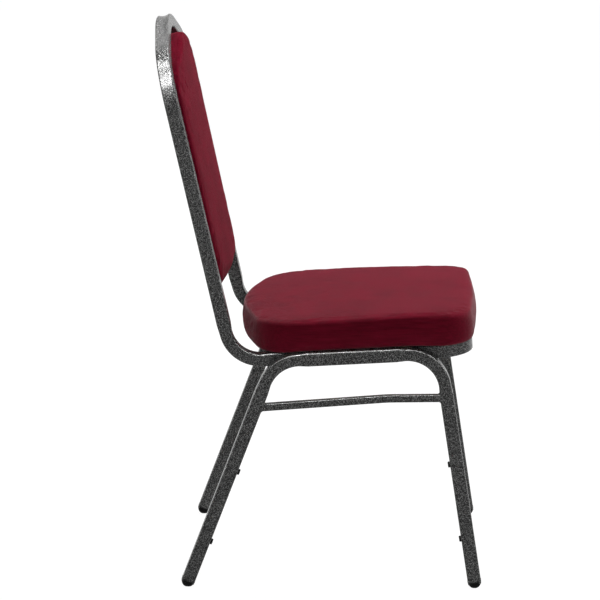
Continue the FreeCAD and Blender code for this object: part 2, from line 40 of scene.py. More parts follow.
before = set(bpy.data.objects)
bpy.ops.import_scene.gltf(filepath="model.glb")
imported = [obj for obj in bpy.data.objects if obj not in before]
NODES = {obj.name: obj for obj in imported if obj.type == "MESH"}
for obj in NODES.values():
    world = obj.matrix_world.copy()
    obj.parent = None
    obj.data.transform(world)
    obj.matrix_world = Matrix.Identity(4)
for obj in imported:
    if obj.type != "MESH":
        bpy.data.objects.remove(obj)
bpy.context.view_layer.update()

ACROSS = Vector((1.0, 0.0, 0.0))
FORWARD = Vector((0.0, -1.0, 0.0))
UP = Vector((0.0, 0.0, 1.0))

# Rings round a rolled edge, up a side, round a tuck and from a crest to the middle
ROLL_STEPS, SIDE_STEPS, TUCK_STEPS, TOP_STEPS = 6, 6, 4, 24

# A fold: steps along each piece of its line, reach in widths, and share of the depth and place of its ridge
FOLD_STEPS, FOLD_REACH, RIDGE, RIDGE_PLACE = 24, 3.5, 0.5, 2.0

# Settings of the cloth; what is held stays in place
CLOTH = {
    "quality": 6, "mass": 0.3, "tension_stiffness": 30.0, "compression_stiffness": 30.0, "shear_stiffness": 12.0,
    "bending_stiffness": 0.8, "shrink_min": -0.004, "use_pressure": True, "vertex_group_mass": "held",
}

# Stretch of the streaks in the weave: from front to rear on the seat, upwards on the back
SEAT_LAY, BACK_LAY = (1.0, 0.06, 1.0), (1.0, 1.0, 0.06)

TUBES = (
    "back_frame_tube", "front_seat_rail", "rear_cross_tube",
    "left_leg_frame", "right_leg_frame", "left_stretcher", "right_stretcher",
)


# Settings

def number(label, words, value, unit="NONE"):
    """Plain number, as a property."""
    return FloatProperty(name=label, description=words, default=value, unit=unit, precision=5)


def length(label, words, value):
    """Length in metres, as a property."""
    return number(label, words, value, "LENGTH")


def share(label, words, value):
    """Number from 0 to 1, as a property."""
    return FloatProperty(name=label, description=words, default=value, min=0.0, max=1.0, subtype="FACTOR")


def colour(label, words, value):
    """Linear colour, as a property."""
    return FloatVectorProperty(
        name=label, description=words, default=value, size=3, min=0.0, max=1.0, subtype="COLOR"
    )


def angle(label, words, value):
    """Angle in radians, as a property."""
    return FloatProperty(name=label, description=words, default=value, subtype="ANGLE")


def spot(label, words, value):
    """Point in metres, as a property."""
    return FloatVectorProperty(name=label, description=words, default=value, size=3, subtype="XYZ")


def section(label, group):
    """Group of settings inside another, as a property."""
    return PointerProperty(name=label, description=group.__doc__.rstrip("."), type=group)


class ChairCoat(bpy.types.PropertyGroup):
    """Silver-vein powder coat of the frame."""

    ground: colour("Ground", "Dark ground of the coat", (0.002, 0.0022, 0.0022))
    vein: colour("Vein", "Silver that runs through the ground", (0.25, 0.25, 0.247))
    grain: length("Grain", "Size of one cell of the vein", 0.0016)
    roughness: share("Roughness", "Roughness of the ground", 0.22)
    gloss: share("Gloss", "Strength of the ground's reflections", 0.22)
    vein_roughness: share("Vein roughness", "How much rougher the vein is than the ground", 0.12)
    vein_metal: share("Vein metal", "How metallic the vein is", 0.5)
    relief: length("Relief", "Depth of the vein", 0.00022)
    relief_strength: share("Relief strength", "How much of the vein's depth shows", 0.5)


class ChairFabric(bpy.types.PropertyGroup):
    """Woven cover of the pads."""

    tone: colour("Tone", "Colour of the yarn", (0.19, 0.0065, 0.022))
    dark: number("Dark", "Level of the darkest threads", 0.6)
    light: number("Light", "Level of the lightest threads", 1.36)
    patch: share("Patch", "Share of the uneven tone that lies in soft patches", 0.25)
    patch_size: length("Patch size", "Size of a soft patch", 0.05)
    roughness: share("Roughness", "Roughness of the yarn", 0.85)
    fuzz: share("Fuzz", "Roughness of the fuzz", 0.4)
    relief: share("Relief", "Depth of the weave, as a share of the thread", 0.35)
    relief_strength: share("Relief strength", "How much of the weave's depth shows", 0.8)
    thread: length("Thread", "Distance from thread to thread", 0.0009)
    seat_sheen: share("Seat sheen", "Strength of the fuzz that catches grazing light on the seat", 0.27)
    back_sheen: share("Back sheen", "Strength of the fuzz that catches grazing light on the back", 0.07)


class ChairSeat(bpy.types.PropertyGroup):
    """Shape of the seat pad."""

    front_slope: angle("Front slope", "How far the front edge leans from square", math.radians(4.0))
    front_bow: length("Front bow", "Radius in the middle of the front edge", 1.95)
    front_left: length("Front left", "Radius of the front left corner", 0.040)
    front_right: length("Front right", "Radius of the front right corner", 0.057)
    front_skew: length("Front skew", "How far the front left corner is drawn forward", 0.007)
    rear_slope: angle("Rear slope", "How far the rear edge leans from square", math.radians(15.0))
    rear_bow: length("Rear bow", "Radius in the middle of the rear edge", 0.365)
    rear_corner: length("Rear corner", "Radius of the rear corners", 0.076)
    roll: length("Roll", "Radius of the crest at the sides", 0.010)
    front_roll: length("Front roll", "Radius of the crest at the front", 0.010)
    rear_roll: length("Rear roll", "Radius of the crest at the rear", 0.007)
    tuck: length("Tuck", "Radius where the cover turns under", 0.008)
    bulge: length("Bulge", "How far the sides swell", 0.0012)
    crown: length("Crown", "Radius of the crowned top", 2.9)
    crown_place: share("Crown place", "Where the crown's peak lies, from front to rear", 0.57)
    lift: length("Lift", "How much fuller the front right edge is stuffed than the left", 0.005)
    front_sag: length("Front sag", "How far the underside hangs before the leg frames", 0.0030)
    rear_sag: length("Rear sag", "How far the underside hangs behind the leg frames", 0.0032)
    pressure: number("Pressure", "Air pressure inside the cloth", 3.0)
    slack: length("Slack", "Farthest that the cloth may move from its cut", 0.0012)
    fold: length("Fold", "Depth of the folds that handling has left", 0.0009)


class ChairBack(bpy.types.PropertyGroup):
    """Shape of the back pad and of the panel behind it."""

    crown_slope: angle("Crown slope", "Slope of the top from shoulder to apex", math.radians(20.5))
    apex: length("Apex", "Radius at the apex", 0.1409)
    shoulder: length("Shoulder", "Radius of the shoulders", 0.0719)
    bottom_corner: length("Bottom corner", "Radius of the bottom corners", 0.028)
    roll: length("Roll", "Radius of the front edge at the sides", 0.008)
    top_roll: length("Top roll", "Radius of the front edge at the top", 0.008)
    bottom_roll: length("Bottom roll", "Radius of the front edge at the bottom", 0.026)
    hang: length("Hang", "How far the bottom hangs below the board's hem", 0.005)
    gap: length("Gap", "How far the top stays below the frame's crown", 0.002)
    taper: length("Taper", "How much thicker the pad is at the top than at the bottom", 0.004)
    crown: length("Crown", "Radius of the crowned front", 1.15)
    pressure: number("Pressure", "Air pressure inside the cloth", 3.0)
    slack: length("Slack", "Farthest that the cloth may move from its cut", 0.0012)
    fold: length("Fold", "Depth of the folds that handling has left", 0.0008)
    panel_roll: length("Panel roll", "Radius of the rear panel's edge", 0.0022)


class ChairFoot(bpy.types.PropertyGroup):
    """Shape of the glides."""

    lip: length("Lip", "How far a glide laps over its tube", 0.0033)
    proud: length("Proud", "How far the lip stands out from the tube", 0.0004)
    wall: length("Wall", "Distance from the tube's face to the plug", 0.0017)
    flat: length("Flat", "Half the width of the worn flat", 0.002)
    corner: length("Corner", "Radius of the tube's corners", 0.004)


class ChairWeld(bpy.types.PropertyGroup):
    """Shape of the weld beads."""

    radius: length("Radius", "Radius of a bead", 0.0016)
    ripple: length("Ripple", "Distance from ripple to ripple", 0.0036)
    spacing: length("Spacing", "Distance between points along a bead", 0.0009)


class ChairMesh(bpy.types.PropertyGroup):
    """Fineness of the made pieces."""

    spacing: length("Spacing", "Distance between points round an outline", 0.005)
    voxel: length("Voxel", "Size of the even mesh that the cloth starts from", 0.0034)
    frames: IntProperty(name="Frames", description="Steps that the cloth settles for", default=20)


# Power, width, height, place and aim of each softbox
LAMPS = {
    "key": (101.0, 0.6, 2.4, (1.0, -1.0, 3.0), (1.0, -1.0, 0.0)),
    "strip": (300.0, 0.4, 2.8, (-0.8, -0.1, 3.0), (-0.8, -0.1, 0.0)),
    "side": (330.0, 0.5, 1.5, (-2.6, 0.89, 2.87), (0.0, 0.2, 0.8)),
    "front": (140.0, 0.5, 1.5, (-0.6, -2.3, 2.1), (0.0, 0.2, 0.4)),
    "fill": (14.0, 1.3, 1.3, (1.6, 0.9, 2.9), (0.0, 0.2, 0.8)),
    "rim": (45.0, 0.5, 1.2, (-0.4, 3.0, 0.85), (0.0, 0.0, 0.4)),
}


def lamp_group(name):
    """Class of the settings of one softbox, with its own defaults."""
    power, width, height, place, aim = LAMPS[name]
    fields = {
        "power": number("Power", "Power of the softbox", power, "POWER"),
        "width": length("Width", "Width of the softbox", width),
        "height": length("Height", "Height of the softbox", height),
        "place": spot("Place", "Place of the softbox", place),
        "aim": spot("Aim", "Point that the softbox faces", aim),
    }
    words = {"__doc__": f"Softbox named {name}.", "__annotations__": fields}
    return type(f"Chair{name.title()}Lamp", (bpy.types.PropertyGroup,), words)


LAMP_GROUPS = {name: lamp_group(name) for name in LAMPS}


class ChairStage(bpy.types.PropertyGroup):
    """Camera, light and floor."""

    eye: spot("Eye", "Place of the camera", (-4.2052, -0.1067, 1.4561))
    yaw: angle("Yaw", "Turn of the camera about the vertical", 0.033736)
    pitch: angle("Pitch", "How far the camera looks down", 0.235829)
    roll: angle("Roll", "Tilt of the camera about its axis", -0.004887)
    lens: number("Lens", "Focal length on a 36 mm sensor", 152.33, "CAMERA")
    key: section("Key", LAMP_GROUPS["key"])
    strip: section("Strip", LAMP_GROUPS["strip"])
    side: section("Side", LAMP_GROUPS["side"])
    front: section("Front", LAMP_GROUPS["front"])
    fill: section("Fill", LAMP_GROUPS["fill"])
    rim: section("Rim", LAMP_GROUPS["rim"])
    ambient: share("Ambient", "Level of the light from all round", 0.21)
    glow: share("Glow", "Share of the floor that stays plain white", 0.9)
    white: number("White", "Level of the floor's plain white", 1.1)
    paint: share("Paint", "How much light the floor throws back", 0.8)
    floor_size: length("Floor size", "Side of the floor", 80.0)


class ChairSettings(bpy.types.PropertyGroup):
    """All settings of the chair."""

    coat: section("Coat", ChairCoat)
    fabric: section("Fabric", ChairFabric)
    seat: section("Seat", ChairSeat)
    back: section("Back", ChairBack)
    foot: section("Foot", ChairFoot)
    weld: section("Weld", ChairWeld)
    mesh: section("Mesh", ChairMesh)
    stage: section("Stage", ChairStage)


def settings():
    """Settings kept in the scene."""
    return bpy.context.scene.chair_settings


# Shader groups and materials

def opaque(tone):
    """Colour with full alpha."""
    return (tone[0], tone[1], tone[2], 1.0)


class Wiring:
    """Node tree with short ways to add and join nodes."""

    def __init__(self, tree):
        self.tree = tree

    def node(self, kind, **values):
        """New node with its plain values set."""
        made = self.tree.nodes.new(kind)
        for name, value in values.items():
            setattr(made, name, value)
        return made

    def feed(self, socket, value):
        """Join a socket to another one, or set it."""
        if isinstance(value, bpy.types.NodeSocket):
            self.tree.links.new(value, socket)
        else:
            socket.default_value = value

    def fed(self, made, *values):
        """First output of a node whose inputs are fed in order."""
        for socket, value in zip(made.inputs, values):
            self.feed(socket, value)
        return made.outputs[0]

    def math(self, operation, *values):
        """Result of a math node."""
        return self.fed(self.node("ShaderNodeMath", operation=operation), *values)

    def vector(self, operation, *values):
        """Result of a vector math node."""
        return self.fed(self.node("ShaderNodeVectorMath", operation=operation), *values)

    def ramp(self, value, low, high, bottom=0.0, top=1.0):
        """Value carried smoothly from one range to another."""
        made = self.node("ShaderNodeMapRange", interpolation_type="SMOOTHSTEP")
        return self.fed(made, value, low, high, bottom, top)

    def mix(self, amount, first, second):
        """Colour between two others."""
        made = self.node("ShaderNodeMix", data_type="RGBA")
        for index, value in ((0, amount), (6, first), (7, second)):
            self.feed(made.inputs[index], value)
        return made.outputs[2]

    def noise(self, place, scale, detail=2.0):
        """Value of a noise texture."""
        made = self.node("ShaderNodeTexNoise")
        self.feed(made.inputs["Vector"], place)
        self.feed(made.inputs["Scale"], scale)
        made.inputs["Detail"].default_value = detail
        return made.outputs[0]


def shader_group(name, inputs, outputs, wire):
    """Node group made once; wire joins its inputs to its outputs."""
    if name in bpy.data.node_groups:
        return bpy.data.node_groups[name]
    group = bpy.data.node_groups.new(name, "ShaderNodeTree")
    for label, value in inputs.items():
        kind = "NodeSocketVector" if isinstance(value, tuple) else "NodeSocketFloat"
        group.interface.new_socket(label, in_out="INPUT", socket_type=kind).default_value = value
    for label in outputs:
        group.interface.new_socket(label, in_out="OUTPUT", socket_type="NodeSocketFloat")
    wiring = Wiring(group)
    given = wiring.node("NodeGroupInput")
    result = wiring.node("NodeGroupOutput")
    place = wiring.node("ShaderNodeTexCoord").outputs["Object"]
    for label, value in wire(wiring, given.outputs, place).items():
        wiring.feed(result.inputs[label], value)
    return group


# Scale of the vein's gaps against its cells, and of grit against patches
GAP_SCALE, GRIT_SCALE = 0.9, 12.0

# How sharply the weave's three axes part, and the slubs' scale, share of the tone and height
AXIS_POWER, SLUB_SCALE, SLUB_TONE, SLUB_HEIGHT = 3.0, 0.4, 0.6, 0.8

# Stretch of the wood's grain across the chair
WOOD_LAY = (0.06, 1.0, 1.0)


def wire_vein(wiring, given, place):
    """Fine broken network, as a mask, and its relief."""
    scale = wiring.math("DIVIDE", 1.0, given["Grain"])
    shift = wiring.node("ShaderNodeTexNoise")
    wiring.feed(shift.inputs["Vector"], place)
    wiring.feed(shift.inputs["Scale"], scale)
    reach = wiring.fed(wiring.node("ShaderNodeCombineXYZ"), *[given["Grain"]] * 3)
    bent = wiring.vector("MULTIPLY_ADD", shift.outputs["Color"], reach, place)
    cells = wiring.node("ShaderNodeTexVoronoi", feature="DISTANCE_TO_EDGE")
    wiring.feed(cells.inputs["Vector"], bent)
    wiring.feed(cells.inputs["Scale"], scale)
    lines = wiring.ramp(cells.outputs["Distance"], low=0.02, high=0.22, bottom=1.0, top=0.0)
    gaps = wiring.noise(place, wiring.math("MULTIPLY", scale, GAP_SCALE))
    broken = wiring.ramp(gaps, low=0.36, high=0.66)
    vein = wiring.math("MULTIPLY", lines, broken)
    return {"Vein": vein, "Relief": wiring.math("MULTIPLY", vein, -1.0)}


def wire_weave(wiring, given, place):
    """Plain weave laid on from the three axes by the way the surface faces, with an uneven tone."""
    turns = wiring.math("DIVIDE", math.pi, given["Thread"])
    parts = wiring.node("ShaderNodeSeparateXYZ")
    wiring.feed(parts.inputs[0], place)
    waves = [wiring.math("SINE", wiring.math("MULTIPLY", part, turns)) for part in parts.outputs]
    facing = wiring.node("ShaderNodeSeparateXYZ")
    wiring.feed(facing.inputs[0], wiring.node("ShaderNodeNewGeometry").outputs["Normal"])
    total = 0.0
    for axis in range(3):
        checks = wiring.math("MULTIPLY", waves[axis - 2], waves[axis - 1])
        weight = wiring.math("POWER", wiring.math("ABSOLUTE", facing.outputs[axis]), AXIS_POWER)
        total = wiring.math("MULTIPLY_ADD", checks, weight, total)
    height = wiring.math("MULTIPLY_ADD", total, 0.5, 0.5)
    drawn = wiring.vector("MULTIPLY", place, given["Lay"])
    slub = wiring.noise(drawn, wiring.math("DIVIDE", SLUB_SCALE, given["Thread"]), detail=3.0)
    slub = wiring.ramp(slub, low=0.25, high=0.75)
    tone = wiring.math("MULTIPLY_ADD", slub, SLUB_TONE, wiring.math("MULTIPLY", height, 1 - SLUB_TONE))
    return {"Height": wiring.math("MULTIPLY_ADD", slub, SLUB_HEIGHT, height), "Tone": tone}


def wire_wear(wiring, given, place):
    """Soft uneven patches, and fine grit."""
    patches = wiring.noise(place, wiring.math("DIVIDE", 1.0, given["Size"]), detail=4.0)
    grit = wiring.noise(place, wiring.math("DIVIDE", GRIT_SCALE, given["Size"]), detail=1.0)
    return {"Patch": wiring.ramp(patches, low=0.3, high=0.7), "Grit": grit}


def wire_grain(wiring, given, place):
    """Long wood grain that runs across the chair."""
    stretched = wiring.vector("MULTIPLY", place, WOOD_LAY)
    lines = wiring.noise(stretched, wiring.math("DIVIDE", 1.0, given["Size"]), detail=6.0)
    return {"Grain": wiring.ramp(lines, low=0.32, high=0.68)}


GROUPS = {
    "Silver vein": ({"Grain": 0.0016}, ("Vein", "Relief"), wire_vein),
    "Plain weave": ({"Thread": 0.0009, "Lay": SEAT_LAY}, ("Height", "Tone"), wire_weave),
    "Soft wear": ({"Size": 0.01}, ("Patch", "Grit"), wire_wear),
    "Wood grain": ({"Size": 0.003}, ("Grain",), wire_grain),
}


class Surface:
    """Principled material that shader groups feed."""

    def __init__(self, name):
        self.material = bpy.data.materials.new(name)
        self.material.use_nodes = True
        self.wiring = Wiring(self.material.node_tree)
        self.shader = self.material.node_tree.nodes["Principled BSDF"]

    def group(self, name, **values):
        """Outputs of a shared group in this material."""
        node = self.wiring.node("ShaderNodeGroup", node_tree=shader_group(name, *GROUPS[name]))
        for label, value in values.items():
            node.inputs[label].default_value = value
        return node.outputs

    def set(self, **values):
        """Feed inputs of the shader, named with underscores for spaces."""
        for label, value in values.items():
            self.wiring.feed(self.shader.inputs[label.replace("_", " ")], value)

    def relief(self, height, distance, strength=1.0):
        """Bump from a height."""
        bump = self.wiring.node("ShaderNodeBump")
        bump.inputs["Strength"].default_value = strength
        bump.inputs["Distance"].default_value = distance
        self.wiring.feed(bump.inputs["Height"], height)
        self.wiring.feed(self.shader.inputs["Normal"], bump.outputs["Normal"])


def coat_material():
    """Dark powder coat with silver veins."""
    values = settings().coat
    surface = Surface("silver_vein_coat")
    vein = surface.group("Silver vein", Grain=values.grain)
    wiring = surface.wiring
    surface.set(
        Base_Color=wiring.mix(vein["Vein"], opaque(values.ground), opaque(values.vein)),
        Roughness=wiring.math("MULTIPLY_ADD", vein["Vein"], values.vein_roughness, values.roughness),
        Metallic=wiring.math("MULTIPLY", vein["Vein"], values.vein_metal),
        Specular_IOR_Level=values.gloss,
    )
    surface.relief(vein["Relief"], values.relief, values.relief_strength)
    return surface.material


def fabric_material(name, lay, sheen):
    """Burgundy woven cloth, with its streaks drawn out along the axis that lay makes small."""
    values = settings().fabric
    surface = Surface(name)
    weave = surface.group("Plain weave", Thread=values.thread, Lay=lay)
    wear = surface.group("Soft wear", Size=values.patch_size)
    wiring = surface.wiring
    dark, light = (opaque([part * level for part in values.tone]) for level in (values.dark, values.light))
    woven = wiring.math("MULTIPLY", weave["Tone"], 1 - values.patch)
    tone = wiring.math("MULTIPLY_ADD", wear["Patch"], values.patch, woven)
    surface.set(Base_Color=wiring.mix(tone, dark, light), Roughness=values.roughness)
    surface.set(Sheen_Weight=sheen, Sheen_Roughness=values.fuzz, Specular_IOR_Level=0.0)
    surface.relief(weave["Height"], values.thread * values.relief, values.relief_strength)
    return surface.material


# Dark tone, light tone, roughness, size of the patches and depth of the grit
WORN = {
    "black_plastic": ((0.002, 0.002, 0.002), (0.005, 0.005, 0.005), 0.5, 0.012, 0.0001),
    "black_rubber": ((0.003, 0.003, 0.003), (0.007, 0.007, 0.007), 0.65, 0.008, 0.0001),
    "zinc": ((0.45, 0.46, 0.47), (0.62, 0.62, 0.6), 0.25, 0.006, 0.00005),
    "clip_plastic": ((0.02, 0.02, 0.02), (0.04, 0.04, 0.04), 0.45, 0.008, 0.0001),
    "foam": ((0.55, 0.5, 0.36), (0.66, 0.61, 0.46), 0.8, 0.004, 0.0004),
}

# Dark and light grain
WOODS = {
    "plywood": ((0.28, 0.17, 0.085), (0.46, 0.31, 0.17)),
    "hardboard": ((0.09, 0.05, 0.025), (0.16, 0.09, 0.05)),
}

# Roughness that grit adds, strength of the relief and of plain reflections
GRIT, RELIEF, SHINE = 0.2, 0.4, 0.05

# Size and depth of the grain, and roughness of the wood
GRAIN, GRAIN_DEPTH, WOOD_ROUGHNESS = 0.003, 0.0002, 0.7


def worn_material(name, metal=0.0):
    """Moulded, plated or foamed material with uneven tone and fine grit."""
    tone, light, roughness, size, relief = WORN[name]
    surface = Surface(name)
    wear = surface.group("Soft wear", Size=size)
    wiring = surface.wiring
    surface.set(
        Base_Color=wiring.mix(wear["Patch"], opaque(tone), opaque(light)),
        Roughness=wiring.math("MULTIPLY_ADD", wear["Grit"], GRIT, roughness),
    )
    surface.relief(wear["Grit"], relief, RELIEF)
    surface.set(Specular_IOR_Level=SHINE, Metallic=metal)
    return surface.material


def wood_material(name):
    """Board with grain across the chair."""
    dark, light = WOODS[name]
    surface = Surface(name)
    grain = surface.group("Wood grain", Size=GRAIN)["Grain"]
    surface.set(Base_Color=surface.wiring.mix(grain, opaque(dark), opaque(light)), Roughness=WOOD_ROUGHNESS)
    surface.relief(grain, GRAIN_DEPTH, RELIEF)
    return surface.material


def dress(material, *names):
    """Give CAD nodes a material."""
    for name in names:
        data = NODES[name].data
        data.materials.clear()
        data.materials.append(material)


def names_with(prefix):
    """CAD nodes whose name starts alike."""
    return sorted(name for name in NODES if name.startswith(prefix))


# Geometry

def slab_axes(node, facing):
    """Axes of a flat board: x across the chair, z out of its broad face on the side of facing."""
    out = max(NODES[node].data.polygons, key=lambda face: face.area).normal.copy()
    if out.dot(facing) < 0:
        out.negate()
    along = out.cross(ACROSS)
    return Matrix((ACROSS, along, out)).transposed()


def span(node, axes):
    """Lowest and highest corner of a node in turned axes."""
    inverse = axes.transposed()
    points = [inverse @ vertex.co for vertex in NODES[node].data.vertices]
    low = Vector([min(point[axis] for point in points) for axis in range(3)])
    high = Vector([max(point[axis] for point in points) for axis in range(3)])
    return low, high


def arc_points(before, corner, after, radius, step=math.radians(2.0)):
    """Points on the tangent arc that rounds one corner of a flat outline."""
    coming = (corner - before).normalized()
    going = (after - corner).normalized()
    turn = math.atan2(coming.x * going.y - coming.y * going.x, coming.dot(going))
    reach = radius * math.tan(abs(turn) / 2)
    side = math.copysign(1.0, turn)
    start = corner - coming * reach
    centre = start + Vector((-coming.y, coming.x)) * side * radius
    count = max(2, math.ceil(abs(turn) / step))
    spoke = start - centre
    return [centre + Matrix.Rotation(turn * index / count, 2) @ spoke for index in range(count + 1)]


def evenly(points, spacing):
    """Points of a closed line spread anew at an even distance."""
    closed = points + points[:1]
    marks = [0.0]
    for first, second in zip(closed, closed[1:]):
        marks.append(marks[-1] + (second - first).length)
    count = round(marks[-1] / spacing)
    spread = []
    index = 0
    for step in range(count):
        mark = marks[-1] * step / count
        while marks[index + 1] < mark:
            index += 1
        part = (mark - marks[index]) / (marks[index + 1] - marks[index])
        spread.append(closed[index].lerp(closed[index + 1], part))
    return spread


class Outline:
    """Closed rounded outline with points at an even distance and the way out at each."""

    def __init__(self, corners, radii, spacing):
        rounded = []
        for index, corner in enumerate(corners):
            after = corners[(index + 1) % len(corners)]
            rounded.extend(arc_points(corners[index - 1], corner, after, radii[index]))
        self.points = evenly(rounded, spacing)
        self.outward = []
        for index in range(len(self.points)):
            ahead = self.points[(index + 1) % len(self.points)] - self.points[index - 1]
            self.outward.append(Vector((ahead.y, -ahead.x)).normalized())

    def inset(self, amount):
        """Points drawn in by an amount, or by one for each point."""
        amounts = amount if isinstance(amount, list) else [amount] * len(self.points)
        return [point - out * part for point, out, part in zip(self.points, self.outward, amounts)]

    def drawn(self, amount, share_left, centre):
        """Points drawn in by an amount and then shrunk towards a centre."""
        return [centre + (point - centre) * share_left for point in self.inset(amount)]


def lifted(points, height):
    """Flat points as a ring at a height, which may depend on the point."""
    return [Vector((point.x, point.y, height(point) if callable(height) else height)) for point in points]


def standing(points, heights):
    """Flat points as a ring, each at its own height."""
    return [Vector((point.x, point.y, height)) for point, height in zip(points, heights)]


def smooth(value):
    """Smooth step from 0 to 1."""
    value = min(max(value, 0.0), 1.0)
    return value * value * (3 - 2 * value)


def quarter(count):
    """Sines and cosines of even steps round a quarter turn, after the first."""
    return [
        (math.sin(math.pi / 2 * index / count), math.cos(math.pi / 2 * index / count))
        for index in range(1, count + 1)
    ]


def graded(outline, side, ahead, behind):
    """One radius for each point of an outline: at its sides, at its +y end and at its -y end."""
    radii = []
    for out in outline.outward:
        over, under = max(out.y, 0.0) ** 2, max(-out.y, 0.0) ** 2
        radii.append(side + (ahead - side) * over + (behind - side) * under)
    return radii


def rolled(outline, edges, rolls):
    """Rings round a quarter turn from the side of an outline to its edge on top."""
    rings = []
    for sine, cosine in quarter(ROLL_STEPS):
        heights = [edge - roll + roll * sine for edge, roll in zip(edges, rolls)]
        rings.append(standing(outline.inset([roll * (1 - cosine) for roll in rolls]), heights))
    return rings


def new_mesh(name, places, faces):
    """Mesh of places and faces."""
    mesh = bpy.data.meshes.new(name)
    mesh.from_pydata(places, [], faces)
    mesh.update()
    return mesh


def new_object(name, data):
    """Object of a mesh, lamp or camera, in the scene."""
    made = bpy.data.objects.new(name, data)
    bpy.context.collection.objects.link(made)
    return made


def closing(outline, amount, centre, height, steps=TOP_STEPS):
    """Rings from an inset outline in to a centre, at a height."""
    return [lifted(outline.drawn(amount, 1 - step / steps, centre), height) for step in range(1, steps)]


def ring_mesh(name, rings):
    """Closed mesh through rings of equal length, capped at both ends."""
    size = len(rings[0])
    faces = [list(range(size))[::-1], list(range(size * (len(rings) - 1), size * len(rings)))]
    for level in range(len(rings) - 1):
        for index in range(size):
            after = (index + 1) % size
            low, high = level * size, (level + 1) * size
            faces.append([low + index, low + after, high + after, high + index])
    return new_mesh(name, [point for ring in rings for point in ring], faces)


def add_piece(name, mesh, material):
    """Object of a mesh in the scene, smooth, on the chair's body."""
    piece = new_object(name, mesh)
    mesh.materials.append(material)
    mesh.shade_smooth()
    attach(piece, "root")
    return piece


def apply_modifiers(piece):
    """Bake the modifiers of a piece into its mesh."""
    old = piece.data
    shaped = piece.evaluated_get(bpy.context.evaluated_depsgraph_get())
    piece.data = bpy.data.meshes.new_from_object(shaped)
    piece.modifiers.clear()
    piece.data.name = old.name
    bpy.data.meshes.remove(old)
    piece.data.shade_smooth()


def even_mesh(piece, voxel):
    """Give a closed piece an even mesh."""
    remesh = piece.modifiers.new("even", "REMESH")
    remesh.mode = "VOXEL"
    remesh.voxel_size = voxel
    remesh.use_smooth_shade = True
    relax = piece.modifiers.new("relax", "CORRECTIVE_SMOOTH")
    relax.iterations = 2
    relax.rest_source = "ORCO"
    relax.use_only_smooth = True
    apply_modifiers(piece)


def settle(piece, held, pressure, slack):
    """Let cloth with air inside find its shape, no farther from its cut than slack."""
    cut = [vertex.co.copy() for vertex in piece.data.vertices]
    group = piece.vertex_groups.new(name="held")
    group.add([vertex.index for vertex in piece.data.vertices if held(vertex.co)], 1.0, "REPLACE")
    cloth = piece.modifiers.new("cloth", "CLOTH")
    for name, value in CLOTH.items():
        setattr(cloth.settings, name, value)
    cloth.settings.uniform_pressure_force = pressure
    cloth.settings.effector_weights.gravity = 0.0
    cloth.collision_settings.use_collision = False
    frames = settings().mesh.frames
    cloth.point_cache.frame_start = 1
    cloth.point_cache.frame_end = frames
    scene = bpy.context.scene
    for step in range(1, frames + 1):
        scene.frame_set(step)
    apply_modifiers(piece)
    scene.frame_set(1)
    piece.vertex_groups.clear()
    for vertex, place in zip(piece.data.vertices, cut):
        moved = vertex.co - place
        if moved.length > slack:
            vertex.co = place + moved * (slack / moved.length)


def refine(piece):
    """One finer level, baked."""
    finer = piece.modifiers.new("finer", "SUBSURF")
    finer.levels = 1
    finer.render_levels = 1
    apply_modifiers(piece)


def press_folds(piece, lines, depth, width):
    """Press soft grooves with a low ridge beside them into a piece, along lines that fade at both ends."""
    vertices = piece.data.vertices
    tree = kdtree.KDTree(len(vertices))
    for vertex in vertices:
        tree.insert(vertex.co, vertex.index)
    tree.balance()
    moves = {}
    for line in lines:
        total = len(line) - 1
        steps = FOLD_STEPS * total
        for step in range(steps + 1):
            mark = step / steps * total
            index = min(int(mark), total - 1)
            place = line[index].lerp(line[index + 1], mark - index)
            fade = math.sin(math.pi * step / steps)
            for _, found, distance in tree.find_range(place, width * FOLD_REACH):
                widths = distance / width
                ridge = RIDGE * math.exp(-((widths - RIDGE_PLACE) ** 2))
                move = fade * (ridge - math.exp(-(widths ** 2)))
                if abs(move) > abs(moves.get(found, 0.0)):
                    moves[found] = move
    normals = {found: vertices[found].normal.copy() for found in moves}
    for found, move in moves.items():
        vertices[found].co += normals[found] * (move * depth)
    piece.data.update()


def turn_mesh(mesh, axes):
    """Carry a mesh from turned axes to the chair's."""
    mesh.transform(axes.to_4x4())


def upholster(mesh, material, values, axes, held, folds, width):
    """Cushion from its cut: held below a level, it settles as cloth and gets its folds."""
    piece = add_piece(mesh.name, mesh, material)
    even_mesh(piece, settings().mesh.voxel)
    settle(piece, lambda point: point.z < held, values.pressure, values.slack)
    refine(piece)
    press_folds(piece, folds, values.fold, width)
    turn_mesh(piece.data, axes)
    return piece


# Operators

class CHAIR_OT_finish_frame(bpy.types.Operator):
    """Coat the tubes and tabs of the welded frame"""

    bl_idname = "chair.finish_frame"
    bl_label = "Finish frame"

    def execute(self, context):
        dress(coat_material(), *TUBES, *names_with("seat_tab_"), *names_with("back_tab_"))
        return {"FINISHED"}


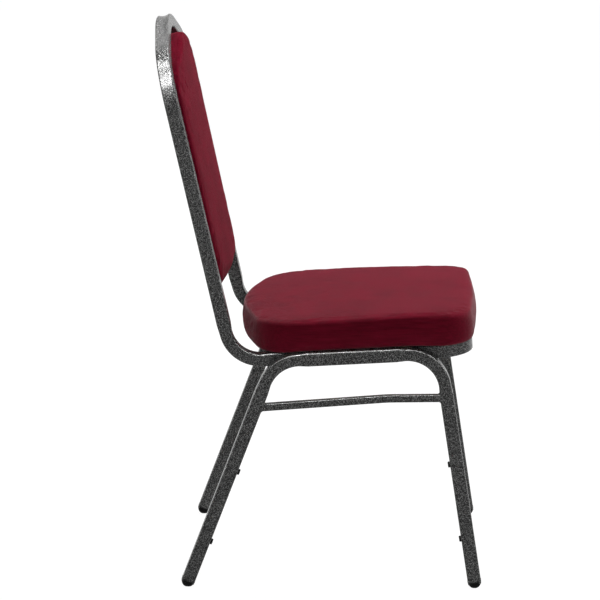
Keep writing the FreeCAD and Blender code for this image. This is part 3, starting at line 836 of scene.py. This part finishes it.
class CHAIR_OT_make_welds(bpy.types.Operator):
    """Make the rippled beads where the tubes' ends are welded on"""

    bl_idname = "chair.make_welds"
    bl_label = "Make welds"

    ENDS = (
        ("left_stretcher", 1, (-1, 1)), ("right_stretcher", 1, (-1, 1)),
        ("rear_cross_tube", 0, (-1, 1)), ("front_seat_rail", 1, (1,)),
    )
    # An end face: how squarely it faces out, how deep it may lie, and how near it is to the widest one
    SQUARE, DEPTH, WIDEST = 0.85, 0.008, 0.93
    # Sides of a bead, and how much of its radius a ripple adds
    SIDES, SWELL = 8, 0.16

    def end_loops(self, node, axis, ways):
        """Outer outlines of a tube's end faces, which lie farthest out along an axis."""
        shell = bmesh.new()
        shell.from_mesh(NODES[node].data)
        bmesh.ops.remove_doubles(shell, verts=shell.verts, dist=1e-6)
        ends = set()
        for way in ways:
            reach = max(vertex.co[axis] * way for vertex in shell.verts)
            for face in shell.faces:
                near = face.calc_center_median()[axis] * way > reach - self.DEPTH
                if near and face.normal[axis] * way > self.SQUARE:
                    ends.add(face)
        border = {}
        for edge in shell.edges:
            if sum(face in ends for face in edge.link_faces) == 1:
                for vertex in edge.verts:
                    border.setdefault(vertex, []).append(edge.other_vert(vertex))
        loops = []
        while border:
            vertex = next(iter(border))
            loop = []
            while vertex in border:
                loop.append(vertex.co.copy())
                nearby = border.pop(vertex)
                vertex = next((other for other in nearby if other in border), None)
            loops.append(loop)
        shell.free()
        reach = [max((point - loop[0]).length for point in loop) for loop in loops]
        return [loop for loop, size in zip(loops, reach) if size > self.WIDEST * max(reach)]

    def bead(self, loop, places, faces):
        """Add one closed rippled bead to lists of places and faces."""
        values = settings().weld
        line = evenly(loop, values.spacing)
        centre = sum(line, Vector()) / len(line)
        start, sides = len(places), self.SIDES
        for index, point in enumerate(line):
            ahead = (line[(index + 1) % len(line)] - line[index - 1]).normalized()
            out = point - centre
            out = (out - ahead * out.dot(ahead)).normalized()
            across = ahead.cross(out)
            wave = math.sin(2 * math.pi * index * values.spacing / values.ripple)
            radius = values.radius * (1 + self.SWELL * wave)
            for turn in (2 * math.pi * side / sides for side in range(sides)):
                places.append(point + (out * math.cos(turn) + across * math.sin(turn)) * radius)
        for index in range(len(line)):
            here, after = start + index * sides, start + (index + 1) % len(line) * sides
            for side in range(sides):
                other = (side + 1) % sides
                faces.append((here + side, here + other, after + other, after + side))

    def execute(self, context):
        places, faces = [], []
        for node, axis, ways in self.ENDS:
            for loop in self.end_loops(node, axis, ways):
                self.bead(loop, places, faces)
        mesh = new_mesh("weld_beads", places, faces)
        piece = add_piece(mesh.name, mesh, bpy.data.materials["silver_vein_coat"])
        return {"FINISHED"}


class CHAIR_OT_make_glides(bpy.types.Operator):
    """Make the domed glides: a plug in the tube's end, a lip round it and a worn dome"""

    bl_idname = "chair.make_glides"
    bl_label = "Make glides"

    # Distance between points, rings over the dome, clearance to the tube, and what counts as on its face
    SPACING, DOME_STEPS, CLEAR, TOUCH = 0.0015, 10, 0.00005, 0.0003
    # How far a side of the plug may turn across the chair, and up
    TURNED, TILTED = 0.1, 0.7

    def rings(self, centre, half, end, bottom, top):
        """Rings from the plug's top, out round the tube's end and down over the dome."""
        values = settings().foot
        corners = [centre + Vector((x * half, y * half)) for x, y in ((-1, -1), (1, -1), (1, 1), (-1, 1))]
        outline = Outline(corners, [values.corner] * 4, self.SPACING)
        clear = self.CLEAR
        rings = [
            lifted(outline.inset(values.wall), top),
            lifted(outline.inset(values.wall), end - clear),
            lifted(outline.inset(-clear), end - clear),
            lifted(outline.inset(-clear), end + values.lip),
        ]
        drop = end + values.lip - bottom
        for sine, cosine in [(0.0, 1.0)] + quarter(self.DOME_STEPS):
            reach = values.flat + (half - values.flat) * cosine
            ring = []
            for point in outline.inset(-values.proud):
                spoke = (point - centre) / half
                ring.append(centre + spoke.lerp(spoke.normalized(), sine) * reach)
            rings.append(lifted(ring, end + values.lip - drop * sine))
        return rings[::-1]

    def execute(self, context):
        plastic = worn_material("black_plastic")
        for name in names_with("glide_"):
            faces = [face for face in NODES[name].data.polygons if abs(face.normal.x) < self.TURNED]
            faces = [face for face in faces if abs(face.normal.z) < self.TILTED]
            side = max(faces, key=lambda face: face.area).normal
            out = ACROSS.cross(side)
            if out.z < 0:
                out.negate()
            axes = Matrix((ACROSS, out.cross(ACROSS), out)).transposed()
            low, high = span(name, axes)
            half = (high.x - low.x) / 2
            inverse = axes.transposed()
            points = [inverse @ vertex.co for vertex in NODES[name].data.vertices]
            end = max(point.z for point in points if abs(point.x - low.x) < self.TOUCH)
            centre = Vector(((low.x + high.x) / 2, (low.y + high.y) / 2))
            mesh = ring_mesh(name.replace("glide", "foot"), self.rings(centre, half, end, low.z, high.z))
            piece = add_piece(mesh.name, mesh, plastic)
            turn_mesh(mesh, axes)
            for vertex in mesh.vertices:
                vertex.co.z = max(vertex.co.z, 0.0)
            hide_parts(name)
        return {"FINISHED"}


class CHAIR_OT_finish_bumpers(bpy.types.Operator):
    """Give the stacking bumpers their rubber"""

    bl_idname = "chair.finish_bumpers"
    bl_label = "Finish bumpers"

    def execute(self, context):
        dress(worn_material("black_rubber"), *names_with("bumper_"))
        return {"FINISHED"}


class CHAIR_OT_finish_fixings(bpy.types.Operator):
    """Give the boards, screws, tee nuts and clips their wood, zinc and plastic"""

    bl_idname = "chair.finish_fixings"
    bl_label = "Finish fixings"

    def execute(self, context):
        dress(wood_material("plywood"), "seat_board", "back_board")
        dress(wood_material("hardboard"), "rear_panel")
        dress(worn_material("zinc", 1.0), "seat_screws", "seat_tee_nuts", "back_screws", "back_tee_nuts")
        dress(worn_material("clip_plastic"), "panel_clips")
        dress(worn_material("foam"), "seat_foam", "back_foam")
        return {"FINISHED"}


class CHAIR_OT_make_seat_pad(bpy.types.Operator):
    """Make the seat pad: cloth drawn over a crowned block of foam"""

    bl_idname = "chair.make_seat_pad"
    bl_label = "Make seat pad"

    # Inset and rise of the rings under the pad
    UNDERSIDE = ((0.030, 0.004), (0.022, 0.003), (0.014, 0.0))
    # Where the underside starts to hang, and over what share of the depth
    FRONT_HANG, REAR_HANG = (0.29, 0.18), (0.72, 0.15)
    # Distance before the crown's peak at which the front right edge is at its fullest
    LIFT_REACH = 0.16
    # Start and end along the side, height and rise of each fold, as shares
    RIGHT_FOLDS = (
        (0.14, 0.32, 0.70, 0.03), (0.30, 0.62, 0.60, -0.04), (0.24, 0.42, 0.50, 0.02),
        (0.58, 0.76, 0.44, 0.03), (0.40, 0.54, 0.34, -0.02), (0.12, 0.22, 0.42, 0.04),
    )
    LEFT_FOLDS = ((0.20, 0.46, 0.62, -0.03), (0.52, 0.74, 0.54, 0.03), (0.34, 0.50, 0.40, 0.02))
    # Inset, width, length, drop and slope of the folds over the front corners
    CORNER_FOLD = (0.004, 0.045, 0.05, 0.018, 0.08)
    FOLD_WIDTH = 0.0024

    def outline(self, low, high):
        """Plan outline at the widest line of the pad."""
        values = settings().seat

        def bowed(reach, slope, bow):
            apex = reach + bow * (1 / math.cos(slope) - 1)
            return apex, apex - high.x * math.tan(slope)

        front, front_side = bowed(-low.y, values.front_slope, values.front_bow)
        rear, rear_side = bowed(high.y, values.rear_slope, values.rear_bow)
        corners = [
            (0.0, -front), (high.x, -front_side - values.front_skew), (high.x, rear_side),
            (0.0, rear), (low.x, rear_side), (low.x, -front_side),
        ]
        behind = values.rear_corner
        radii = [values.front_bow, values.front_left, behind, values.rear_bow, behind, values.front_right]
        return Outline([Vector(corner) for corner in corners], radii, settings().mesh.spacing)

    def rings(self, outline, low, high, middle):
        """Rings from the underside, round the side and over the crest to the middle of the top."""
        values = settings().seat
        tuck = values.tuck
        rolls = graded(outline, values.roll, values.rear_roll, values.front_roll)

        def top(point):
            fuller = smooth(point.x / low.x) * smooth((middle.y - point.y) / self.LIFT_REACH)
            return high.z - (point - middle).length_squared / (2 * values.crown) + values.lift * fuller

        def hanging(point):
            place = (point.y - low.y) / (high.y - low.y)
            ahead = smooth((self.FRONT_HANG[0] - place) / self.FRONT_HANG[1])
            behind = smooth((place - self.REAR_HANG[0]) / self.REAR_HANG[1])
            return low.z - values.front_sag * ahead - values.rear_sag * behind

        rings = [lifted(outline.inset(inset), low.z + rise) for inset, rise in self.UNDERSIDE]
        feet = [hanging(point) for point in outline.points]
        for sine, cosine in [(0.0, 1.0)] + quarter(TUCK_STEPS):
            rings.append(standing(outline.inset(tuck * (1 - sine)), [foot + tuck * (1 - cosine) for foot in feet]))
        edges = [top(point) for point in outline.inset(rolls)]
        for step in range(1, SIDE_STEPS + 1):
            part = step / SIDE_STEPS
            swell = values.bulge * math.sin(math.pi * part)
            heights = [
                foot + tuck + (edge - roll - foot - tuck) * part for foot, edge, roll in zip(feet, edges, rolls)
            ]
            rings.append(standing(outline.inset(-swell), heights))
        return rings + rolled(outline, edges, rolls) + closing(outline, rolls, middle, top)

    def folds(self, outline, low, high):
        """Lines of the folds: along both sides, and over the front corners."""
        size = high - low

        def along(side, start, end, rise, tip):
            line = []
            for part in (0.0, 0.25, 0.5, 0.75, 1.0):
                place = low.y + size.y * (start + (end - start) * part)
                line.append(Vector((side * high.x, place, low.z + size.z * (rise + tip * part))))
            return line

        lines = [along(-1, *fold) for fold in self.RIGHT_FOLDS] + [along(1, *fold) for fold in self.LEFT_FOLDS]
        inset, width, reach, drop, slope = self.CORNER_FOLD
        crest = [point for point in outline.inset(inset) if point.y < low.y + reach]
        for side in (-1, 1):
            corner = [point for point in crest if point.x * side > high.x - width]
            corner.sort(key=lambda point: point.y)
            heights = [high.z - drop + slope * (point.y - low.y) for point in corner]
            lines.append(standing(corner, heights))
        return lines

    def execute(self, context):
        values = settings().seat
        axes = slab_axes("seat_board", UP)
        low, high = span("seat_cover", axes)
        middle = Vector((0.0, low.y + (high.y - low.y) * values.crown_place))
        outline = self.outline(low, high)
        mesh = ring_mesh("seat_pad", self.rings(outline, low, high, middle))
        weave = fabric_material("seat_weave", SEAT_LAY, settings().fabric.seat_sheen)
        folds = self.folds(outline, low, high)
        held = low.z + values.tuck / 2
        piece = upholster(mesh, weave, values, axes, held, folds, self.FOLD_WIDTH)
        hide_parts("seat_cover", "seat_foam")
        return {"FINISHED"}


def back_outline(low, high, trim):
    """Outline of the back between two corners, with its radii trimmed."""
    values = settings().back
    apex_round = values.apex + trim
    lean = math.tan(values.crown_slope)
    apex = high.y + apex_round * (1 / math.cos(values.crown_slope) - 1)
    shoulder = apex - high.x * lean
    corners = [(low.x, low.y), (high.x, low.y), (high.x, shoulder), (0.0, apex), (low.x, shoulder)]
    bottom, side = values.bottom_corner + trim, values.shoulder + trim
    radii = [bottom, bottom, side, apex_round, side]
    return Outline([Vector(corner) for corner in corners], radii, settings().mesh.spacing)


class CHAIR_OT_make_back_pad(bpy.types.Operator):
    """Make the back pad: cloth drawn over foam that stands proud of the frame"""

    bl_idname = "chair.make_back_pad"
    bl_label = "Make back pad"

    # Insets of the hem behind, its rise to the side, and the level below which the cloth is held
    HEM_INSETS, HEM_RISE, HELD = (0.012, 0.004), 0.003, 0.006
    # Height, as a share, at which the taper changes nothing
    TAPER_LEVEL = 0.45
    # Pulls at both ends of the sides: start and end, across and up, as shares
    PULLS = (
        (0.86, 0.80, 0.62, 0.86), (0.90, 0.70, 0.74, 0.74), (0.88, 0.10, 0.66, 0.16), (0.90, 0.22, 0.76, 0.25),
    )
    PULL_DEPTH, FOLD_WIDTH = 0.002, 0.004
    # Fold over each shoulder: share across, and how far below the top and behind the front
    SHOULDER_FOLD = ((0.80, 0.062, 0.022), (0.74, 0.068, 0.004), (0.60, 0.088, 0.0))

    def rings(self, outline, low, high):
        """Rings from behind, round the side and over the rolled edge to the middle of the front."""
        values = settings().back
        middle = Vector((0.0, (low.y + high.y) / 2))
        rolls = graded(outline, values.roll, values.top_roll, values.bottom_roll)

        def front(point):
            rise = (point.y - low.y) / (high.y - low.y)
            return high.z + values.taper * (rise - self.TAPER_LEVEL) - point.x ** 2 / (2 * values.crown)

        rings = [lifted(outline.inset(inset), low.z) for inset in self.HEM_INSETS]
        edges = [front(point) for point in outline.inset(rolls)]
        foot = low.z + self.HEM_RISE
        for step in range(SIDE_STEPS + 1):
            heights = [foot + (edge - roll - foot) * step / SIDE_STEPS for edge, roll in zip(edges, rolls)]
            rings.append(standing(outline.points, heights))
        return rings + rolled(outline, edges, rolls) + closing(outline, rolls, middle, front)

    def folds(self, low, high):
        """Lines of the folds: short pulls that fan out from the shoulders and the bottom corners."""
        size = high - low
        lines = []
        for side in (-1, 1):
            for across, up, tip_across, tip_up in self.PULLS:
                line = []
                for part in (0.0, 0.5, 1.0):
                    aside = side * high.x * (across + (tip_across - across) * part)
                    rise = low.y + size.y * (up + (tip_up - up) * part)
                    line.append(Vector((aside, rise, high.z - self.PULL_DEPTH)))
                lines.append(line)
            lines.append([
                Vector((side * high.x * across, high.y - down, high.z - back))
                for across, down, back in self.SHOULDER_FOLD
            ])
        return lines

    def execute(self, context):
        values = settings().back
        axes = slab_axes("back_board", FORWARD)
        low, high = span("back_cover", axes)
        low.y -= values.hang
        high.y -= values.gap
        mesh = ring_mesh("back_pad", self.rings(back_outline(low, high, 0.0), low, high))
        weave = fabric_material("back_weave", BACK_LAY, settings().fabric.back_sheen)
        folds, held = self.folds(low, high), low.z + self.HELD
        piece = upholster(mesh, weave, values, axes, held, folds, self.FOLD_WIDTH)
        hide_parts("back_cover", "back_foam")
        return {"FINISHED"}


class CHAIR_OT_make_rear_panel(bpy.types.Operator):
    """Make the covered panel that closes the back from behind"""

    bl_idname = "chair.make_rear_panel"
    bl_label = "Make rear panel"

    # What the outline's radii gain, hem and edge of the cover on the hidden face, and rings over that face
    TRIM, HEM, EDGE, HEM_STEPS = 0.0015, 0.008, 0.001, 16

    def execute(self, context):
        values = settings().back
        axes = slab_axes("rear_panel", FORWARD)
        low, high = span("rear_panel_cover", axes)
        outline = back_outline(low, high, self.TRIM)
        roll = values.panel_roll
        middle = Vector((0.0, (low.y + high.y) / 2))
        rings = closing(outline, self.HEM, middle, high.z, self.HEM_STEPS)[::-1] + [
            lifted(outline.drawn(self.HEM, 1.0, middle), high.z),
            lifted(outline.inset(self.EDGE), high.z),
            lifted(outline.inset(0.0), high.z - self.EDGE),
            lifted(outline.inset(0.0), low.z + roll),
        ]
        for sine, cosine in quarter(TUCK_STEPS):
            rings.append(lifted(outline.inset(roll * (1 - cosine)), low.z + roll * (1 - sine)))
        rings += closing(outline, roll, middle, low.z)
        mesh = ring_mesh("rear_panel_fabric", rings[::-1])
        weave = fabric_material("panel_weave", BACK_LAY, settings().fabric.back_sheen)
        piece = add_piece(mesh.name, mesh, weave)
        turn_mesh(piece.data, axes)
        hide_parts("rear_panel_cover")
        return {"FINISHED"}


class CHAIR_OT_set_stage(bpy.types.Operator):
    """Set the floor, the light and the camera"""

    bl_idname = "chair.set_stage"
    bl_label = "Set stage"

    SENSOR, FAR = 36.0, 200.0

    def seen(self, wiring):
        """1 for rays that show the backdrop straight, by reflection or through glass."""
        path = wiring.node("ShaderNodeLightPath").outputs
        mirrored = wiring.math("MAXIMUM", path["Is Glossy Ray"], path["Is Transmission Ray"])
        return wiring.math("MAXIMUM", path["Is Camera Ray"], mirrored)

    def set_floor(self, values):
        """Pale floor that is white to the camera and keeps a faint shadow."""
        half = values.floor_size / 2
        places = [(-half, -half, 0.0), (half, -half, 0.0), (half, half, 0.0), (-half, half, 0.0)]
        mesh = new_mesh("floor", places, [(0, 1, 2, 3)])
        floor = new_object("floor", mesh)
        material = bpy.data.materials.new("floor_white")
        material.use_nodes = True
        tree = material.node_tree
        tree.nodes.remove(tree.nodes["Principled BSDF"])
        wiring = Wiring(tree)
        paint = wiring.node("ShaderNodeBsdfDiffuse")
        paint.inputs["Color"].default_value = opaque([values.paint] * 3)
        plain = wiring.node("ShaderNodeEmission")
        plain.inputs["Strength"].default_value = values.white
        blend = wiring.node("ShaderNodeMixShader")
        wiring.feed(blend.inputs[0], wiring.math("MULTIPLY", self.seen(wiring), values.glow))
        wiring.feed(blend.inputs[1], paint.outputs[0])
        wiring.feed(blend.inputs[2], plain.outputs[0])
        wiring.feed(tree.nodes["Material Output"].inputs["Surface"], blend.outputs[0])
        mesh.materials.append(material)

    def set_world(self, values):
        """White all round, at full strength only where it is seen."""
        world = bpy.data.worlds.new("studio")
        bpy.context.scene.world = world
        world.use_nodes = True
        wiring = Wiring(world.node_tree)
        background = world.node_tree.nodes["Background"]
        background.inputs["Color"].default_value = (1.0, 1.0, 1.0, 1.0)
        strength = wiring.math("MULTIPLY_ADD", self.seen(wiring), 1 - values.ambient, values.ambient)
        wiring.feed(background.inputs["Strength"], strength)

    def set_lamp(self, name, values):
        """Softbox; all but the key only put a shine on what is glossy."""
        lamp = bpy.data.lights.new(name, "AREA")
        lamp.shape = "RECTANGLE"
        lamp.energy = values.power
        lamp.size, lamp.size_y = values.width, values.height
        holder = new_object(name, lamp)
        place = Vector(values.place)
        turned = (place - Vector(values.aim)).to_track_quat("Z", "Y").to_matrix().to_4x4()
        holder.matrix_world = Matrix.Translation(place) @ turned
        holder.visible_diffuse = name == "key"

    def set_camera(self, values):
        """Camera in the place that the photo was taken from."""
        camera = bpy.data.cameras.new("camera")
        camera.lens = values.lens
        camera.sensor_width = self.SENSOR
        camera.clip_end = self.FAR
        holder = new_object("camera", camera)
        level = Matrix(((0.0, 0.0, -1.0), (-1.0, 0.0, 0.0), (0.0, 1.0, 0.0)))
        turned = Matrix.Rotation(values.yaw, 3, "Z") @ level
        turned = turned @ Matrix.Rotation(-values.pitch, 3, "X") @ Matrix.Rotation(values.roll, 3, "Z")
        holder.matrix_world = Matrix.Translation(Vector(values.eye)) @ turned.to_4x4()
        bpy.context.scene.camera = holder

    def execute(self, context):
        values = settings().stage
        self.set_floor(values)
        self.set_world(values)
        for name in LAMPS:
            self.set_lamp(name, getattr(values, name))
        self.set_camera(values)
        context.scene.view_settings.view_transform = "Standard"
        return {"FINISHED"}


OPERATORS = (
    CHAIR_OT_finish_frame,
    CHAIR_OT_make_welds,
    CHAIR_OT_make_glides,
    CHAIR_OT_finish_bumpers,
    CHAIR_OT_finish_fixings,
    CHAIR_OT_make_seat_pad,
    CHAIR_OT_make_back_pad,
    CHAIR_OT_make_rear_panel,
    CHAIR_OT_set_stage,
)


class CHAIR_PT_looks(bpy.types.Panel):
    """The steps that dress the chair"""

    bl_idname = "CHAIR_PT_looks"
    bl_label = "Chair looks"
    bl_space_type = "VIEW_3D"
    bl_region_type = "UI"
    bl_category = "Chair"

    def draw(self, context):
        for operator in OPERATORS:
            self.layout.operator(operator.bl_idname)


CLASSES = (
    ChairCoat, ChairFabric, ChairSeat, ChairBack, ChairFoot, ChairWeld, ChairMesh,
    *LAMP_GROUPS.values(), ChairStage, ChairSettings, *OPERATORS, CHAIR_PT_looks,
)


def register():
    """Make the settings, operators and panel known."""
    for item in CLASSES:
        bpy.utils.register_class(item)
    bpy.types.Scene.chair_settings = section("Chair", ChairSettings)


def unregister():
    """Take them away again."""
    del bpy.types.Scene.chair_settings
    for item in reversed(CLASSES):
        bpy.utils.unregister_class(item)


def main():
    """Dress the chair step by step and note its size before and after."""
    register()
    for operator in OPERATORS:
        group, name = operator.bl_idname.split(".")
        getattr(getattr(bpy.ops, group), name)()


if __name__ == "__main__":
    main()
